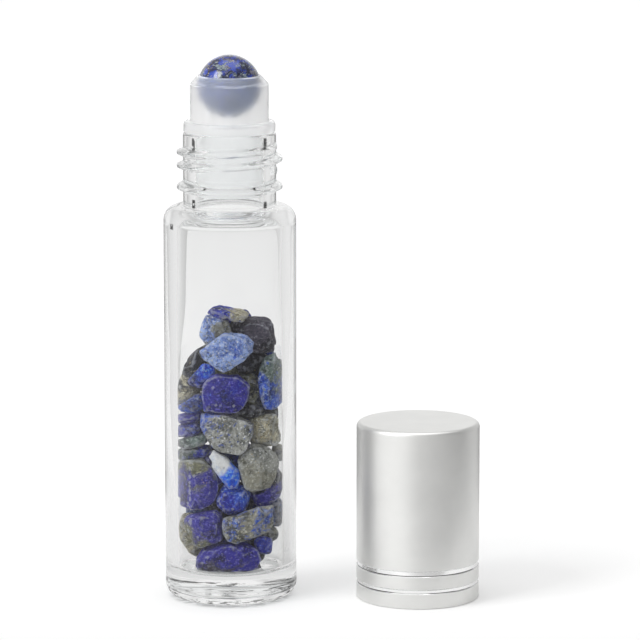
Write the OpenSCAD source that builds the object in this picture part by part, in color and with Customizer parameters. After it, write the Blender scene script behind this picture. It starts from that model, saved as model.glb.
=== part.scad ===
// Roll-on bottle: a clear glass vial of lapis chips with a lapis roller ball, its cap standing beside it.
// The origin is the centre of the vial's base and Z is up. Azimuth is counted from +X towards +Y.

/* [Glass vial] */
// Outside diameter of the glass body
body_d = 20; // [18:0.5:24]
// Height of the glass from its base to its mouth
glass_h = 71.3; // [64:0.1:90]
// Thickness of the body's wall
body_wall = 2; // [1.2:0.1:2.6]
// Thickness of the glass under the chips
base_t = 4.5; // [2.5:0.1:6]
// Radius of the rounded heel
heel_r = 2.2; // [1:0.1:3]
// Radius of the inner corner at the floor
floor_r = 1; // [0.5:0.1:2]
// Radius of the hollow under the base
punt_r = 6.8; // [5:0.1:7]
// Depth of the hollow under the base
punt_h = 0.5; // [0.3:0.05:1]
// Radius of the rounded shoulder
shoulder_r = 2.2; // [1.2:0.1:2.8]
// Thickness of the glass in the shoulder
shoulder_t = 1.5; // [1:0.1:2.2]
// Radius of the inner corner under the shoulder
shoulder_inner_r = 1.5; // [0.8:0.1:2.2]

/* [Neck] */
// Outside diameter of the neck between its threads
neck_d = 14; // [13:0.1:15]
// Diameter of the bore through the neck
neck_bore = 10.4; // [9.6:0.1:11.2]
// Height of the neck from the shoulder to the mouth
neck_h = 11.2; // [10:0.1:14]
// Radius of the rounded edge at the mouth
lip_r = 0.5; // [0.2:0.05:0.8]
// Outside diameter over the thread's crests
thread_d = 15.9; // [15.4:0.1:16.2]
// Rise of the thread in one turn
thread_pitch = 2; // [1.6:0.1:2.4]
// Number of turns of thread on the neck
thread_turns = 2; // [1:0.25:2.5]
// Width of the thread where it leaves the neck
thread_root_w = 1.3; // [0.9:0.05:1.5]
// Width of the thread along its crest
thread_crest_w = 0.5; // [0.3:0.05:0.7]
// Distance from the mouth down to the thread's upper end
thread_drop = 2.1; // [1.8:0.1:3]
// Distance from the mouth down to the middle of the bead ring
bead_drop = 8.3; // [7.8:0.1:9.5]
// Height of the bead ring where it leaves the neck
bead_w = 1.6; // [1:0.1:2]

/* [Roller] */
// Diameter of the roller ball
ball_d = 9.5; // [9:0.1:9.8]
// Height of the ball's centre above the mouth
ball_rise = 6.8; // [6.4:0.1:8]
// Running clearance between the ball and its socket
ball_clear = 0.05; // [0.03:0.01:0.1]
// Height of the snap rim above the ball's centre
rim_rise = 1.7; // [1.2:0.05:2.2]
// Width of the flat land on top of the snap rim
rim_land = 0.22; // [0.1:0.02:0.3]
// Outside diameter of the socket's cup
cup_d = 11.8; // [11.2:0.1:12.6]
// Height of the sloping edge below the snap rim
cup_chamfer_h = 1.3; // [0.6:0.1:1.8]
// Diameter of the flange that sits on the mouth
flange_d = 13.8; // [13:0.1:14.4]
// Thickness of the flange
flange_t = 1.6; // [1:0.1:2]
// Radius of the flange's rounded upper edge
flange_r = 0.45; // [0.2:0.05:0.6]
// Depth of the plug inside the neck
plug_h = 9.6; // [7:0.1:10]
// Wall of the hollow plug
plug_wall = 1.2; // [0.8:0.1:1.6]
// Clearance between the plug's barrel and the neck's bore
plug_clear = 0.15; // [0.1:0.01:0.25]
// Clearance left at the plug's sealing beads
seal_clear = 0.02; // [0.01:0.01:0.05]
// Number of sealing beads on the plug
seal_beads = 3; // [2:1:4]
// Thickness of the web under the ball
web_t = 1.2; // [0.8:0.1:1.6]
// Diameter of the central feed hole
feed_d = 4.6; // [4.2:0.1:4.8]
// Diameter of each small feed hole around it
side_feed_d = 0.9; // [0.6:0.1:1.2]
// Number of small feed holes
side_feeds = 4; // [3:1:6]

/* [Cap] */
// Outside diameter of the cap
cap_d = 18.7; // [18.4:0.1:20]
// Height of the cap
cap_h = 27.1; // [26:0.1:32]
// Thickness of the aluminium
shell_t = 0.45; // [0.35:0.05:0.6]
// Radius of the cap's rounded top edge
cap_edge_r = 0.75; // [0.5:0.05:1.2]
// Height of the lower polished groove's middle
low_ring_z = 2.6; // [2:0.1:3.2]
// Width of the lower polished groove
low_ring_w = 0.72; // [0.4:0.02:0.9]
// Height of the upper polished groove's middle
high_ring_z = 5.35; // [4.4:0.05:8]
// Width of the upper polished groove
high_ring_w = 0.9; // [0.4:0.02:1.2]
// Depth of the polished grooves
ring_depth = 0.15; // [0.08:0.01:0.2]
// Thickness of the liner's top
liner_top_t = 1.2; // [0.8:0.1:1.6]
// Height of the liner's lower edge above the cap's mouth
liner_recess = 0.4; // [0.2:0.1:1]
// Clearance between the liner and the aluminium
liner_clear = 0.05; // [0.03:0.01:0.08]
// Clearance between the cap's thread and the neck's thread
thread_clear = 0.2; // [0.1:0.05:0.3]
// Thickness of the soft disc that presses on the ball
disc_t = 1.7; // [1:0.1:2.4]
// Clearance around the soft disc
disc_clear = 0.12; // [0.08:0.01:0.2]
// Height of the rib that keeps the disc in the liner
rib_h = 0.5; // [0.3:0.1:0.8]
// Distance of the cap's axis to the right of the vial's axis
cap_x = 28.5; // [24:0.1:60]
// Distance of the cap's axis in front of the vial's axis
cap_front = 1; // [0:0.1:20]

/* [Lapis chips] */
// Height from the floor to the middle of the topmost chip
bed_h = 40; // [34:0.5:46]
// Length of the largest chip
chip_l = 10; // [9:0.1:11]
// Narrowest space between two chips, and between a chip and the glass
chip_gap = 0.12; // [0.06:0.01:0.2]

/* [Hidden] */
// How far a cut runs past the face that it opens
over = 0.5;
// Depth by which a thread's root lies in the wall that carries it
thread_embed = 0.3;
// Width of the liner's ridge at its crest
ridge_crest_w = 0.45;
// Width of the liner's ridge at its root
ridge_root_w = 0.95;
// Radius of the liner's rounded upper edge
liner_edge_r = 0.6;
// Length of the tapered lead-in at the plug's lower end
lead_in = 0.7;
// Radius of one sealing bead
seal_r = 0.4;
// Turns of thread that the liner holds
ridge_turns = 1.75;

body_r = body_d / 2;
bore_r = body_r - body_wall;
neck_r = neck_d / 2;
neck_z = glass_h - neck_h;
straight_z = neck_z - shoulder_r;
neck_bore_r = neck_bore / 2;
thread_r = thread_d / 2;
thread_z = glass_h - thread_drop - thread_turns * thread_pitch;
bead_z = glass_h - bead_drop;
ball_r = ball_d / 2;
ball_z = glass_h + ball_rise;
socket_r = ball_r + ball_clear;
rim_z = ball_z + rim_rise;
rim_r = sqrt(socket_r * socket_r - rim_rise * rim_rise);
plug_z = glass_h - plug_h;
plug_r = neck_bore_r - plug_clear;
web_z = ball_z - socket_r - web_t;
cap_r = cap_d / 2;
liner_r = cap_r - shell_t - liner_clear;
liner_bore_r = thread_r + thread_clear;
liner_top_z = cap_h - shell_t;
disc_top_z = liner_top_z - liner_top_t;
disc_low_z = disc_top_z - disc_t;
disc_r = liner_bore_r - disc_clear;
// Height of the cap's mouth when the cap is closed and its disc rests on the ball
closed_z = ball_z + ball_r - disc_low_z;
ridge_z = thread_z - closed_z + thread_pitch / 2;

// Facets of a turn of thread, and of a chip around and from front to back
turn_steps = 36;
chip_steps = 18;
chip_rings = 8;
// Roundness of a chip: 2 is an ellipsoid and higher is blockier
chip_power = 3;

// One row for each chip: its middle as shares of the bore's radius (x, y) and of bed_h (z),
// its half width, depth and height as shares of chip_l, and its turn about Y in degrees.
chip_shares = [
    [-0.04, -0.30, 0.985, 0.42, 0.26, 0.10, 8],
    [-0.27, -0.40, 0.925, 0.25, 0.18, 0.30, 5],
    [0.44, -0.18, 0.90, 0.46, 0.24, 0.36, 0],
    [-0.03, -0.67, 0.855, 0.56, 0.14, 0.42, 0],
    [-0.75, -0.20, 0.705, 0.14, 0.20, 0.62, 14],
    [-0.50, -0.50, 0.755, 0.22, 0.13, 0.12, -50],
    [-0.05, -0.66, 0.695, 0.46, 0.17, 0.38, 0],
    [0.70, -0.42, 0.725, 0.26, 0.22, 0.66, 3],
    [0.37, -0.42, 0.70, 0.15, 0.16, 0.28, 0],
    [-0.76, -0.25, 0.59, 0.17, 0.20, 0.10, -22],
    [-0.67, -0.38, 0.645, 0.19, 0.15, 0.12, -35],
    [-0.77, -0.28, 0.54, 0.19, 0.22, 0.095, -14],
    [-0.67, -0.38, 0.50, 0.23, 0.20, 0.09, -10],
    [-0.07, -0.65, 0.545, 0.52, 0.18, 0.44, 0],
    [0.61, -0.44, 0.55, 0.26, 0.20, 0.28, -10],
    [0.49, -0.60, 0.41, 0.31, 0.17, 0.42, 10],
    [-0.07, -0.66, 0.40, 0.17, 0.13, 0.40, -25],
    [-0.60, -0.50, 0.34, 0.35, 0.22, 0.46, -6],
    [-0.66, -0.35, 0.458, 0.28, 0.20, 0.10, -14],
    [0.06, -0.57, 0.285, 0.26, 0.17, 0.24, 20],
    [0.65, -0.27, 0.32, 0.25, 0.22, 0.33, 0],
    [-0.46, -0.60, 0.18, 0.38, 0.19, 0.36, 0],
    [0.31, -0.64, 0.19, 0.46, 0.18, 0.36, 0],
    [-0.70, -0.26, 0.135, 0.15, 0.24, 0.37, -20],
    [-0.03, -0.57, 0.062, 0.58, 0.24, 0.26, 0],
    [0.59, -0.45, 0.105, 0.12, 0.14, 0.15, 0],
    [0.80, -0.27, 0.225, 0.11, 0.19, 0.24, 0],
    [0.68, -0.32, 0.145, 0.14, 0.17, 0.11, 10],
    [0.87, -0.20, 0.45, 0.07, 0.16, 0.13, 0],
    [-0.34, 0.42, 0.06, 0.32, 0.27, 0.24, 12],
    [0.15, 0.58, 0.06, 0.30, 0.24, 0.26, -8],
    [0.36, 0.22, 0.06, 0.22, 0.28, 0.23, 18],
    [0.00, 0.03, 0.10, 0.30, 0.26, 0.26, 30],
    [-0.58, 0.32, 0.20, 0.28, 0.27, 0.30, -15],
    [0.05, 0.62, 0.22, 0.32, 0.22, 0.28, 20],
    [0.60, 0.38, 0.19, 0.26, 0.27, 0.30, -25],
    [0.00, 0.00, 0.25, 0.31, 0.26, 0.30, 40],
    [-0.62, 0.24, 0.38, 0.26, 0.28, 0.33, 10],
    [-0.08, 0.62, 0.39, 0.32, 0.22, 0.33, -18],
    [0.54, 0.46, 0.36, 0.28, 0.25, 0.31, 28],
    [0.02, 0.00, 0.42, 0.31, 0.26, 0.33, -35],
    [-0.54, 0.38, 0.57, 0.29, 0.27, 0.31, 22],
    [0.12, 0.61, 0.56, 0.30, 0.22, 0.31, -12],
    [0.64, 0.28, 0.57, 0.20, 0.28, 0.31, 8],
    [0.02, 0.02, 0.60, 0.31, 0.26, 0.33, 32],
    [-0.45, 0.48, 0.75, 0.30, 0.24, 0.33, -20],
    [0.18, 0.58, 0.73, 0.28, 0.23, 0.31, 24],
    [0.56, 0.32, 0.79, 0.23, 0.25, 0.31, -10],
    [-0.06, 0.04, 0.77, 0.30, 0.25, 0.33, 15],
    [0.02, 0.36, 0.92, 0.34, 0.26, 0.17, -14],
    [0.42, -0.12, 0.79, 0.24, 0.20, 0.20, 35],
    [-0.29, -0.33, 0.40, 0.15, 0.16, 0.30, 0],
    [0.33, -0.38, 0.63, 0.26, 0.20, 0.13, 8],
];

// Flat breaks that give some chips their outline, seen along Y: the chip's row, counted from 0,
// the break's direction in degrees from +X towards +Z, and its distance as a share of chip_l.
break_shares = [
    [0, 80, 0.085], [0, 140, 0.24], [0, -35, 0.25], [0, -100, 0.09],
    [1, 100, 0.25], [1, 20, 0.22], [1, 160, 0.20], [1, 215, 0.22],
    [2, 90, 0.27], [2, 9, 0.29], [2, 182, 0.36], [2, -90, 0.27],
    [3, 131, 0.27], [3, 81, 0.275], [3, 49, 0.36], [3, -50, 0.23], [3, -121, 0.28],
    [6, 85, 0.27], [6, 135, 0.36], [6, 180, 0.35], [6, 48, 0.31], [6, -22, 0.29], [6, -90, 0.27],
    [7, 173, 0.16], [7, 122, 0.37], [7, 0, 0.19], [7, 29, 0.34], [7, -64, 0.38],
    [13, 75, 0.26], [13, 157, 0.42], [13, 203, 0.28], [13, 231, 0.26], [13, 258, 0.28], [13, -17, 0.355],
    [15, -80, 0.37], [15, 195, 0.25], [15, 130, 0.32], [15, 50, 0.34], [15, -35, 0.32],
    [16, 215, 0.12], [16, 40, 0.13], [16, 5, 0.17],
    [17, 60, 0.37], [17, 125, 0.40], [17, -60, 0.36], [17, 240, 0.38],
    [21, 102, 0.22], [21, -2, 0.24], [21, -73, 0.27], [21, 206, 0.24],
    [22, 107, 0.22], [22, -5, 0.34], [22, -70, 0.20], [22, 180, 0.35],
    [24, 92, 0.20], [24, 143, 0.40], [24, 27, 0.44], [24, -90, 0.21],
];

// Each other chip gets this many breaks in directions drawn from its own seed
loose_breaks = 7;
// Nearest and farthest of those breaks, as shares of the chip's reach that way
loose_near_share = 0.74;
loose_far_share = 0.95;

CHIP_NODES = [for (i = [0 : len(chip_shares) - 1]) str("lapis_chip_", i < 9 ? "0" : "", i + 1)];

$fn = 96;

// A rectangle from the axis out to r, for revolving
module band(r, z_low, z_high) {
    translate([0, z_low]) square([r, z_high - z_low]);
}

// Profile of one ring of thread at an angle: radius and height pairs, counter-clockwise
function thread_section(r_root, r_crest, root_w, crest_w, grow) =
    let (crest = r_root + (r_crest - r_root) * grow)
    let (half_root = root_w / 2, half_crest = crest_w / 2, middle = (r_root + crest) / 2)
    let (half_middle = (half_root + half_crest * 2) / 3)
    r_crest > r_root
        ? [[r_root, -half_root], [middle, -half_middle], [crest, -half_crest],
            [crest, half_crest], [middle, half_middle], [r_root, half_root]]
        : [[r_root, half_root], [middle, half_middle], [crest, half_crest],
            [crest, -half_crest], [middle, -half_middle], [r_root, -half_root]];

// Share of full height that a thread has at a place along it, with a short run-out at each end
function run_out(at, turns) =
    let (ramp = 0.14)
    min(1, 0.08 + at / ramp, 0.08 + (turns - at) / ramp);

// A right-hand thread that starts at azimuth 0 and climbs one pitch a turn
module thread(r_root, r_crest, root_w, crest_w, z_start, pitch, turns) {
    steps = ceil(turns * turn_steps);
    sections = [for (i = [0 : steps])
        thread_section(r_root, r_crest, root_w, crest_w, run_out(turns * i / steps, turns))];
    sides = len(sections[0]);
    points = [for (i = [0 : steps]) let (at = turns * i / steps, angle = 360 * at)
        for (p = sections[i]) [p[0] * cos(angle), p[0] * sin(angle), z_start + pitch * at + p[1]]];
    walls = [for (i = [0 : steps - 1]) for (j = [0 : sides - 1]) let (k = (j + 1) % sides)
        let (a = i * sides + j, d = i * sides + k, b = a + sides, c = d + sides)
        each [[a, d, c], [a, c, b]]];
    first = [for (j = [0 : sides - 1]) sides - 1 - j];
    last = [for (j = [0 : sides - 1]) steps * sides + j];
    polyhedron(points, concat([first], walls, [last]));
}

// Clear glass, blown and moulded in one piece: body, shoulder, bead ring and threaded neck
module glass_bottle() {
    punt_sphere_r = (punt_r * punt_r + punt_h * punt_h) / (2 * punt_h);
    color([0.88, 0.93, 0.93, 0.4]) {
        rotate_extrude() difference() {
            union() {
                band(body_r - heel_r, 0, heel_r * 2);
                band(body_r, heel_r, straight_z);
                intersection() {
                    translate([body_r - heel_r, heel_r]) circle(heel_r);
                    band(body_r, 0, heel_r * 2);
                }
                translate([body_r - shoulder_r, straight_z]) circle(shoulder_r);
                band(body_r - shoulder_r, straight_z - shoulder_r, neck_z);
                band(neck_r, straight_z, glass_h - lip_r);
                band(neck_r - lip_r, glass_h - 2 * lip_r, glass_h);
                translate([neck_r - lip_r, glass_h - lip_r]) circle(lip_r);
                bead_section();
            }
            cavity_section();
            intersection() {
                translate([0, punt_h - punt_sphere_r]) circle(punt_sphere_r);
                band(punt_r + over, -over, 2 * punt_h);
            }
        }
        thread(neck_r - thread_embed, thread_r, thread_root_w, thread_crest_w, thread_z, thread_pitch, thread_turns);
    }
}

// Section of the closed bead ring under the thread
module bead_section() {
    crest = thread_crest_w / 2;
    root = bead_w / 2;
    translate([0, bead_z]) polygon([
        [neck_r - thread_embed, -root], [neck_r, -root], [thread_r, -crest],
        [thread_r, crest], [neck_r, root], [neck_r - thread_embed, root]
    ]);
}

// Section of the space inside the glass: floor, body, rounded shoulder and neck bore
module cavity_section() {
    ceiling_z = neck_z - shoulder_t;
    band(bore_r - floor_r, base_t, base_t + 2 * floor_r);
    translate([bore_r - floor_r, base_t + floor_r]) circle(floor_r);
    band(bore_r, base_t + floor_r, ceiling_z - shoulder_inner_r);
    translate([bore_r - shoulder_inner_r, ceiling_z - shoulder_inner_r]) circle(shoulder_inner_r);
    band(bore_r - shoulder_inner_r, ceiling_z - 2 * shoulder_inner_r, ceiling_z);
    band(neck_bore_r, ceiling_z - shoulder_inner_r, glass_h + over);
}

// Translucent plug, flange and ball cup in one moulding
module roller_housing() {
    color([0.93, 0.94, 0.95, 0.8]) difference() {
        rotate_extrude() union() {
            band(plug_r, plug_z + lead_in, glass_h);
            polygon([
                [0, plug_z], [plug_r - lead_in / 2, plug_z], [plug_r, plug_z + lead_in], [0, plug_z + lead_in]
            ]);
            for (i = [1 : seal_beads])
                translate([neck_bore_r - seal_clear - seal_r, glass_h - i * plug_h / (seal_beads + 1)]) circle(seal_r);
            band(flange_d / 2, glass_h, glass_h + flange_t - flange_r);
            band(flange_d / 2 - flange_r, glass_h, glass_h + flange_t);
            translate([flange_d / 2 - flange_r, glass_h + flange_t - flange_r]) circle(flange_r);
            band(cup_d / 2, glass_h, rim_z - cup_chamfer_h);
            polygon([
                [0, rim_z - cup_chamfer_h], [cup_d / 2, rim_z - cup_chamfer_h], [rim_r + rim_land, rim_z], [0, rim_z]
            ]);
        }
        translate([0, 0, ball_z]) sphere(r = socket_r);
        translate([0, 0, web_z - over]) cylinder(d = feed_d, h = web_t + socket_r);
        for (i = [0 : side_feeds - 1])
            rotate([0, 0, 360 * i / side_feeds])
                translate([(feed_d / 2 + plug_r - plug_wall) / 2, 0, web_z - over])
                    cylinder(d = side_feed_d, h = web_t + socket_r);
        translate([0, 0, plug_z - over]) cylinder(r = plug_r - plug_wall, h = web_z - plug_z + over);
    }
}

// Polished lapis ball
module roller_ball() {
    color([0.16, 0.22, 0.55]) translate([0, 0, ball_z]) sphere(r = ball_r);
}

// Puts a piece of the cap where the cap stands
module at_cap() {
    translate([cap_x, -cap_front, 0]) children();
}

// Satin aluminium cover with two polished grooves
module cap_shell() {
    inner_r = cap_r - shell_t;
    inner_edge = cap_edge_r - shell_t / 2;
    color([0.8, 0.8, 0.8]) at_cap() difference() {
        rotate_extrude() difference() {
            union() {
                band(cap_r, 0, cap_h - cap_edge_r);
                band(cap_r - cap_edge_r, 0, cap_h);
                translate([cap_r - cap_edge_r, cap_h - cap_edge_r]) circle(cap_edge_r);
            }
            union() {
                band(inner_r, -over, liner_top_z - inner_edge);
                band(inner_r - inner_edge, 0, liner_top_z);
                translate([inner_r - inner_edge, liner_top_z - inner_edge]) circle(inner_edge);
            }
            groove_section(low_ring_z, low_ring_w);
            groove_section(high_ring_z, high_ring_w);
        }
    }
}

// Section of one polished groove: a flat floor between two sloping sides
module groove_section(z, w) {
    half = w / 2;
    translate([cap_r, z]) polygon([
        [over, -half], [0, -half], [-ring_depth, -half + ring_depth],
        [-ring_depth, half - ring_depth], [0, half], [over, half]
    ]);
}

// White inner cap with the thread, and a rib that keeps the soft disc
module cap_liner() {
    color([0.95, 0.95, 0.94]) at_cap() {
        difference() {
            rotate_extrude() union() {
                band(liner_r, liner_recess, liner_top_z - liner_edge_r);
                band(liner_r - liner_edge_r, liner_recess, liner_top_z);
                translate([liner_r - liner_edge_r, liner_top_z - liner_edge_r]) circle(liner_edge_r);
            }
            translate([0, 0, -over]) cylinder(r = liner_bore_r, h = disc_top_z + over);
        }
        rotate_extrude() translate([liner_bore_r, disc_low_z - disc_clear - rib_h]) polygon([
            [-rib_h, rib_h / 2], [-rib_h, rib_h], [thread_embed, rib_h], [thread_embed, 0], [0, 0]
        ]);
        thread(
            liner_bore_r + thread_embed, neck_r + thread_clear, ridge_root_w, ridge_crest_w,
            ridge_z, thread_pitch, ridge_turns
        );
    }
}

// Soft disc in the top of the liner
module cap_seal_disc() {
    edge = disc_t / 8;
    color([0.85, 0.85, 0.83]) at_cap() rotate_extrude() union() {
        band(disc_r, disc_low_z + edge, disc_top_z - disc_clear / 2);
        band(disc_r - edge, disc_low_z, disc_top_z - disc_clear / 2);
        translate([disc_r - edge, disc_low_z + edge]) circle(edge);
    }
}

function chip_middle(i) =
    let (s = chip_shares[i]) [s[0] * bore_r, s[1] * bore_r, base_t + s[2] * bed_h];
function chip_half(i) =
    let (s = chip_shares[i]) [s[3] * chip_l, s[4] * chip_l, s[5] * chip_l];

// A direction seen in the chip's own frame, which is turned about Y
function chip_local(i, d) =
    let (a = chip_shares[i][6]) [d[0] * cos(a) - d[2] * sin(a), d[1], d[0] * sin(a) + d[2] * cos(a)];

// Reach of the whole, unbroken chip in a direction
function chip_reach(i, n) =
    let (u = chip_local(i, n), h = chip_half(i), q = chip_power / (chip_power - 1))
    pow(pow(abs(u[0] * h[0]), q) + pow(abs(u[1] * h[1]), q) + pow(abs(u[2] * h[2]), q), 1 / q);

// Distance from the middle of the unbroken chip to its surface along a direction
function chip_surface(i, d) =
    let (u = chip_local(i, d), h = chip_half(i), p = chip_power)
    pow(pow(abs(u[0] / h[0]), p) + pow(abs(u[1] / h[1]), p) + pow(abs(u[2] / h[2]), p), -1 / p);

// An offset weighted by how thin the chip is that way, so that flat chips part along their flat sides
function chip_weighted(i, d) =
    let (u = chip_local(i, d), h = chip_half(i), a = chip_shares[i][6])
    let (w = [u[0] / h[0] / h[0], u[1] / h[1] / h[1], u[2] / h[2] / h[2]])
    [w[0] * cos(a) + w[2] * sin(a), w[1], w[2] * cos(a) - w[0] * sin(a)];

// The planes that part a chip from each neighbour that it would meet
function parting_planes(i) = [
    for (j = [0 : len(chip_shares) - 1]) if (j != i)
        let (away = chip_middle(j) - chip_middle(i))
        let (across = chip_weighted(i, away) + chip_weighted(j, away), n = across / norm(across), apart = away * n)
        if (chip_reach(i, n) + chip_reach(j, n) > apart - chip_gap)
            let (own = broken_reach(i, n), other = broken_reach(j, -n))
            [n, (apart - chip_gap) * own / (own + other)]
];

// Reach of a chip in a direction, less where one of its chosen breaks faces nearly that way
function broken_reach(i, n) =
    min([chip_reach(i, n), for (b = chosen_breaks(i)) if (n * b[0] > 0.8) b[1] / (n * b[0])]);

// The flat breaks of a chip: chosen ones where the table has them, and else drawn from its seed
function chosen_breaks(i) = [
    for (b = break_shares) if (b[0] == i) [[cos(b[1]), 0, sin(b[1])], b[2] * chip_l]
];
function loose_planes(i) = [
    for (k = [0 : loose_breaks - 1])
        let (s = rands(0, 1, 3, 17 * i + k + 1), up = 2 * s[0] - 1, around = 360 * s[1])
        let (flat = sqrt(1 - up * up), n = [flat * cos(around), up, flat * sin(around)])
        [n, chip_reach(i, n) * (loose_near_share + (loose_far_share - loose_near_share) * s[2])]
];
function break_planes(i) = len(chosen_breaks(i)) > 0 ? chosen_breaks(i) : loose_planes(i);

// Distance along a direction to the nearest of some planes
function to_planes(planes, d) =
    min([for (p = planes) let (facing = d * p[0]) facing > 0.02 ? p[1] / facing : glass_h]);

// Distance along a direction to the glass wall and floor, less the gap
function to_glass(c, d) =
    let (r = bore_r - chip_gap, a = d[0] * d[0] + d[1] * d[1], b = c[0] * d[0] + c[1] * d[1])
    let (inside = r * r - c[0] * c[0] - c[1] * c[1])
    let (wall = a > 0.001 ? (sqrt(b * b + a * inside) - b) / a : glass_h)
    let (floor_drop = c[2] - base_t - chip_gap)
    min(wall, d[2] < -0.001 ? floor_drop / -d[2] : glass_h);

// One tumbled chip, cut where its neighbours and the glass stop it
module lapis_chip(i) {
    c = chip_middle(i);
    planes = concat(parting_planes(i), break_planes(i));
    directions = concat(
        [[0, -1, 0]],
        [for (k = [1 : chip_rings - 1]) for (j = [0 : chip_steps - 1])
            let (polar = 180 * k / chip_rings, around = 360 * j / chip_steps)
            [sin(polar) * cos(around), -cos(polar), sin(polar) * sin(around)]],
        [[0, 1, 0]]
    );
    points = [for (d = directions) c + d * min(chip_surface(i, d), to_planes(planes, d), to_glass(c, d))];
    back = len(points) - 1;
    front_faces = [for (j = [0 : chip_steps - 1]) [0, 1 + (j + 1) % chip_steps, 1 + j]];
    walls = [for (k = [0 : chip_rings - 3]) for (j = [0 : chip_steps - 1])
        let (a = 1 + k * chip_steps + j, d = 1 + k * chip_steps + (j + 1) % chip_steps)
        each [[a, d, d + chip_steps], [a, d + chip_steps, a + chip_steps]]];
    ring = back - chip_steps;
    back_faces = [for (j = [0 : chip_steps - 1]) [back, ring + j, ring + (j + 1) % chip_steps]];
    tint = [0.18 + 0.1 * (i % 3), 0.24 + 0.08 * (i % 4), 0.6 - 0.12 * (i % 3)];
    color(tint) polyhedron(points, concat(front_faces, walls, back_faces));
}

glass_bottle();
roller_housing();
roller_ball();
cap_shell();
cap_liner();
cap_seal_disc();
for (i = [0 : len(chip_shares) - 1])
    lapis_chip(i);
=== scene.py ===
import math

import bpy
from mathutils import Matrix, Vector, noise


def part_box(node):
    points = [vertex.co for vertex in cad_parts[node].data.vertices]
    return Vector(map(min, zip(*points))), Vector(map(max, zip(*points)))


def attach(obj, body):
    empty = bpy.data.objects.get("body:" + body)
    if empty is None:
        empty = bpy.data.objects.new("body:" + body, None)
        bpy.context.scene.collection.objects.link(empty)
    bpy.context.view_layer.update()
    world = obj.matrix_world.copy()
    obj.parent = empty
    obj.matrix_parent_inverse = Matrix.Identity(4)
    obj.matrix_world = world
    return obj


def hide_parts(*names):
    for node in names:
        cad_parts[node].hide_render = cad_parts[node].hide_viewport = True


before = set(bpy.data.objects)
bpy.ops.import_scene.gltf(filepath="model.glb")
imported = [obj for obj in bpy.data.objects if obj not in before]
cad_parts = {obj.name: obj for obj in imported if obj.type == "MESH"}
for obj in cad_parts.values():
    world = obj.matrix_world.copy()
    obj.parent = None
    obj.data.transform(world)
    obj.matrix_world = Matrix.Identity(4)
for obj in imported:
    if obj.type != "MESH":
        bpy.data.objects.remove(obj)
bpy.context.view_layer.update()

scene = bpy.context.scene
print("frame loaded:", len(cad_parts), "solids")


# Modelling helpers

def deselectAll():
    for item in list(bpy.context.selected_objects):
        item.select_set(False)


def makeActive(item):
    deselectAll()
    item.select_set(True)
    bpy.context.view_layer.objects.active = item


def applyModifiers(item):
    makeActive(item)
    for modifier in list(item.modifiers):
        bpy.ops.object.modifier_apply(modifier=modifier.name)


def arc(centre, radius, start, end, steps):
    # points of an arc in (radius, height), angles in degrees from outwards to up
    angles = [math.radians(start + (end - start) * i / steps) for i in range(steps + 1)]
    return [(centre[0] + radius * math.cos(a), centre[1] + radius * math.sin(a)) for a in angles]


def climb(radius, low, high, step):
    # a straight stretch of wall with a row of points every step
    rows = max(1, round(abs(high - low) / step))
    return [(radius, low + (high - low) * i / rows) for i in range(rows + 1)]


def spinProfile(name, outline, segments, centre=(0, 0)):
    # one corner of a plane is extruded along the outline, which is then spun round the axis
    deselectAll()
    bpy.ops.mesh.primitive_plane_add(size=0.001, location=(0, 0, 0))
    item = bpy.context.object
    item.name = item.data.name = name
    bpy.ops.object.mode_set(mode="EDIT")
    bpy.ops.mesh.select_all(action="SELECT")
    bpy.ops.mesh.merge(type="CENTER")
    here = (0, 0)
    for number, point in enumerate(outline):
        if number and math.dist(point, here) < 1e-7:
            continue
        move = (point[0] - here[0], 0, point[1] - here[1])
        if number == 0:
            bpy.ops.transform.translate(value=move)
        else:
            bpy.ops.mesh.extrude_vertices_move(TRANSFORM_OT_translate={"value": move})
        here = point
    bpy.ops.mesh.select_all(action="SELECT")
    bpy.ops.mesh.spin(steps=segments, angle=2 * math.pi, center=(0, 0, 0), axis=(0, 0, 1))
    bpy.ops.mesh.select_all(action="SELECT")
    bpy.ops.mesh.remove_doubles(threshold=1e-6)
    bpy.ops.mesh.normals_make_consistent(inside=False)
    bpy.ops.object.mode_set(mode="OBJECT")
    moveVertices(item, lambda p: Vector((p.x + centre[0], p.y + centre[1], p.z)))
    return item


def moveVertices(item, rule):
    for vertex in item.data.vertices:
        vertex.co = rule(vertex.co)
    item.data.update()


def smooth(item, degrees=35):
    makeActive(item)
    bpy.ops.object.shade_smooth_by_angle(angle=math.radians(degrees))


def finishPiece(item, body, slot, nodes, *materials):
    for material in materials:
        item.data.materials.append(material)
    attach(item, body)
    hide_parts(*nodes)


def ease(t):
    t = min(1, max(0, t))
    return t * t * (3 - 2 * t)


# Shader helpers

class Wire:
    # a socket on which Python's operators add Math nodes
    def __init__(self, board, socket):
        self.board = board
        self.socket = socket

    def maths(self, operation, *values):
        return self.board.add("ShaderNodeMath", dict(operation=operation), values)

    def __add__(self, other):
        return self.maths("ADD", self, other)

    def __radd__(self, other):
        return self.maths("ADD", other, self)

    def __sub__(self, other):
        return self.maths("SUBTRACT", self, other)

    def __rsub__(self, other):
        return self.maths("SUBTRACT", other, self)

    def __mul__(self, other):
        return self.maths("MULTIPLY", self, other)

    def __rmul__(self, other):
        return self.maths("MULTIPLY", other, self)

    def above(self, low, high):
        # 0 below low, 1 above high and an eased slope between
        settings = dict(interpolation_type="SMOOTHSTEP", clamp=True)
        return self.board.add("ShaderNodeMapRange", settings, (self, low, high, 0, 1))

    def size(self):
        return self.maths("ABSOLUTE", self)

    def largest(self, other):
        return self.maths("MAXIMUM", self, other)

    def smallest(self, other):
        return self.maths("MINIMUM", self, other)

    def near(self, middle, full, clear):
        # 1 within full of the middle, 0 beyond clear
        return 1 - (self - middle).size().above(full, clear)


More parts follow.
